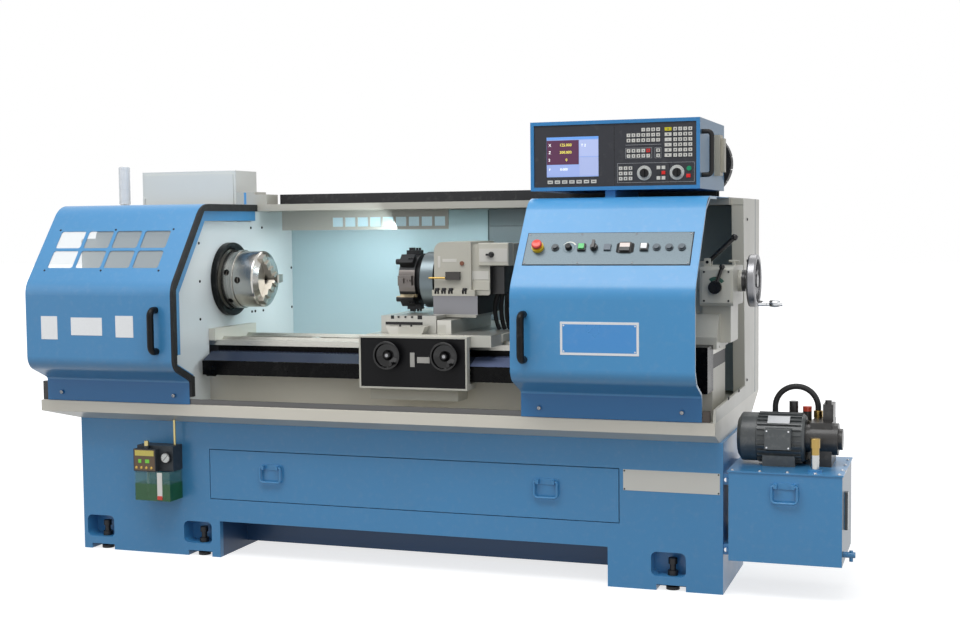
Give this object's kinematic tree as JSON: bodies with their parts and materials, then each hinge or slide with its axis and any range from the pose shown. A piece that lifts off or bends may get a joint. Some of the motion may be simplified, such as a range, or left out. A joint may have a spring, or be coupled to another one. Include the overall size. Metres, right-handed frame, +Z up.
{
  "type": "cnc turning lathe",
  "caption": "Flat-bed turning lathe with sliding guards, chuck, tool turret, tailstock, control box, chip tray and hydraulic unit.",
  "frame": {"origin": "on the floor under the middle of the whole machine", "axes": "+X along the bed to the right as the operator sees it, +Y away from the operator, +Z up"},
  "size_m": [3.396, 1.312, 1.783],
  "materials": {
    "blue_paint": "satin",
    "cream_paint": "satin",
    "black_paint": "satin",
    "dark_grey_paint": "satin",
    "steel": "machined",
    "black_oxide": "blackened",
    "ground_iron": "ground",
    "brushed": "brushed",
    "chrome": "polished",
    "rubber": "matt",
    "clear_plastic": "polished",
    "display": "lit",
    "black_plastic": "fine grain",
    "grey_plastic": "fine grain",
    "red_plastic": "gloss",
    "green_plastic": "gloss",
    "white_plastic": "gloss",
    "beige_plastic": "fine grain"
  },
  "bodies": {
    "frame": {"base_cabinet": "blue_paint", "levelling_screws": "steel", "chip_tray": "cream_paint", "rear_guard": "cream_paint", "roof_beam": "cream_paint", "end_wall": "cream_paint", "headstock_wall": "cream_paint", "headstock": "cream_paint", "chuck_guard_ring": "black_paint", "bed": "ground_iron", "screw_cover": "black_paint", "work_lamp": "cream_paint", "electrical_cabinet": "cream_paint", "beacon": "clear_plastic", "cable_track": "black_paint", "hydraulic_tank": "blue_paint", "pump_motor": "dark_grey_paint", "hydraulic_pump": "black_oxide", "pressure_hose": "rubber", "lubricator": "beige_plastic", "lubricator_reservoir": "green_plastic"},
    "left door": {"left_door": "blue_paint", "left_door_seal": "rubber", "left_door_window": "clear_plastic", "left_door_handle": "black_plastic"},
    "right door": {"right_door": "blue_paint", "right_door_handle": "black_plastic", "switch_panel": "brushed", "drag_chain": "black_plastic", "control_box": "blue_paint", "control_face": "grey_plastic", "control_screen": "display"},
    "feed override": {"feed_override_knob": "black_plastic"},
    "speed override": {"speed_override_knob": "black_plastic"},
    "emergency stop": {"emergency_stop": "red_plastic"},
    "start button": {"start_button": "green_plastic"},
    "white button": {"white_button": "white_plastic"},
    "selector": {"selector_lever": "black_plastic"},
    "speed knob": {"speed_knob": "black_plastic"},
    "spindle": {"spindle": "steel", "chuck_body": "steel"},
    "jaw 1": {"chuck_jaw_1": "steel"},
    "jaw 2": {"chuck_jaw_2": "steel"},
    "jaw 3": {"chuck_jaw_3": "steel"},
    "carriage": {"saddle": "cream_paint", "apron": "black_paint"},
    "left wheel": {"left_handwheel": "black_plastic"},
    "right wheel": {"right_handwheel": "black_plastic"},
    "cross slide": {"cross_slide": "ground_iron", "turret_housing": "cream_paint"},
    "turret": {"turret_disc": "black_oxide"},
    "tailstock": {"tailstock": "cream_paint"},
    "quill": {"quill": "steel"},
    "tail wheel": {"tail_handwheel": "chrome"},
    "gear lever": {"gear_lever": "black_plastic"},
    "clamp lever": {"clamp_lever": "black_plastic"},
    "drawer": {"chip_drawer": "blue_paint"},
    "left drawer handle": {"drawer_handle_left": "blue_paint"},
    "right drawer handle": {"drawer_handle_right": "blue_paint"},
    "tank handle": {"tank_handle": "blue_paint"}
  },
  "joints": [
    {"name": "left_door_slide", "type": "slide", "parent": "frame", "child": "left door", "axis": [1, 0, 0], "range_m": [0, 0.712]},
    {"name": "right_door_slide", "type": "slide", "parent": "frame", "child": "right door", "axis": [-1, 0, 0], "range_m": [0, 0.712]},
    {"name": "feed_override_turn", "type": "hinge", "parent": "right door", "child": "feed override", "pos_m": [0.908, -0.284, 1.579], "axis": [0, -1, 0], "range_deg": [-150, 150]},
    {"name": "speed_override_turn", "type": "hinge", "parent": "right door", "child": "speed override", "pos_m": [1.033, -0.284, 1.579], "axis": [0, -1, 0], "range_deg": [-150, 150]},
    {"name": "emergency_stop_push", "type": "slide", "parent": "right door", "child": "emergency stop", "axis": [0, 0.7986, -0.6018], "range_m": [0, 0.005], "stiffness_N_per_m": 600, "springref_m": -0.003},
    {"name": "start_button_push", "type": "slide", "parent": "right door", "child": "start button", "axis": [0, 0.7986, -0.6018], "range_m": [0, 0.004], "stiffness_N_per_m": 400, "springref_m": -0.002},
    {"name": "white_button_push", "type": "slide", "parent": "right door", "child": "white button", "axis": [0, 0.7986, -0.6018], "range_m": [0, 0.004], "stiffness_N_per_m": 400, "springref_m": -0.002},
    {"name": "selector_turn", "type": "hinge", "parent": "right door", "child": "selector", "pos_m": [0.763, -0.48486, 1.29864], "axis": [0, -0.7986, 0.6018], "range_deg": [-45, 45]},
    {"name": "speed_knob_turn", "type": "hinge", "parent": "right door", "child": "speed knob", "pos_m": [0.666, -0.48486, 1.29864], "axis": [0, -0.7986, 0.6018], "range_deg": [-150, 150]},
    {"name": "spindle_spin", "type": "hinge", "parent": "frame", "child": "spindle", "pos_m": [-0.996, -0.063, 1.163], "axis": [1, 0, 0], "continuous": true},
    {"name": "jaw_1_slide", "type": "slide", "parent": "spindle", "child": "jaw 1", "axis": [0, 1, 0], "range_m": [0, 0.03]},
    {"name": "jaw_2_slide", "type": "slide", "parent": "spindle", "child": "jaw 2", "axis": [0, -0.5, 0.866], "range_m": [0, 0.03]},
    {"name": "jaw_3_slide", "type": "slide", "parent": "spindle", "child": "jaw 3", "axis": [0, -0.5, -0.866], "range_m": [0, 0.03]},
    {"name": "carriage_slide", "type": "slide", "parent": "frame", "child": "carriage", "axis": [1, 0, 0], "range_m": [-0.55, 0.25]},
    {"name": "left_wheel_turn", "type": "hinge", "parent": "carriage", "child": "left wheel", "pos_m": [-0.105, -0.393, 0.876], "axis": [0, 1, 0], "continuous": true},
    {"name": "right_wheel_turn", "type": "hinge", "parent": "carriage", "child": "right wheel", "pos_m": [0.137, -0.393, 0.876], "axis": [0, 1, 0], "continuous": true},
    {"name": "cross_feed", "type": "slide", "parent": "carriage", "child": "cross slide", "axis": [0, 1, 0], "range_m": [-0.06, 0.22]},
    {"name": "turret_index", "type": "hinge", "parent": "cross slide", "child": "turret", "pos_m": [-0.117, -0.063, 1.163], "axis": [1, 0, 0], "continuous": true},
    {"name": "tailstock_slide", "type": "slide", "parent": "frame", "child": "tailstock", "axis": [1, 0, 0], "range_m": [-0.3, 0]},
    {"name": "quill_slide", "type": "slide", "parent": "tailstock", "child": "quill", "axis": [1, 0, 0], "range_m": [-0.15, 0]},
    {"name": "tail_wheel_turn", "type": "hinge", "parent": "tailstock", "child": "tail wheel", "pos_m": [1.29, -0.063, 1.163], "axis": [1, 0, 0], "range_deg": [0, 10801]},
    {"name": "gear_lever_turn", "type": "hinge", "parent": "tailstock", "child": "gear lever", "pos_m": [1.167, -0.216, 1.144], "axis": [0, 1, 0], "range_deg": [-60, 30]},
    {"name": "clamp_lever_turn", "type": "hinge", "parent": "tailstock", "child": "clamp lever", "pos_m": [1.127, -0.143, 1.238], "axis": [0, 1, 0], "range_deg": [-47, 30]},
    {"name": "drawer_slide", "type": "slide", "parent": "frame", "child": "drawer", "axis": [0, -1, 0], "range_m": [0, 0.4]},
    {"name": "left_drawer_handle_turn", "type": "hinge", "parent": "drawer", "child": "left drawer handle", "pos_m": [-0.649, -0.383, 0.395], "axis": [-1, 0, 0], "range_deg": [0, 90]},
    {"name": "right_drawer_handle_turn", "type": "hinge", "parent": "drawer", "child": "right drawer handle", "pos_m": [0.537, -0.383, 0.395], "axis": [-1, 0, 0], "range_deg": [0, 90]},
    {"name": "tank_handle_turn", "type": "hinge", "parent": "frame", "child": "tank handle", "pos_m": [1.4505, -0.411, 0.427], "axis": [-1, 0, 0], "range_deg": [0, 90]}
  ],
  "couplings": [
    {"joint": "jaw_2_slide", "follows": "jaw_1_slide", "ratio": 1},
    {"joint": "jaw_3_slide", "follows": "jaw_1_slide", "ratio": 1},
    {"joint": "tail_wheel_turn", "follows": "quill_slide", "rad_per_m": -1256.6}
  ]
}
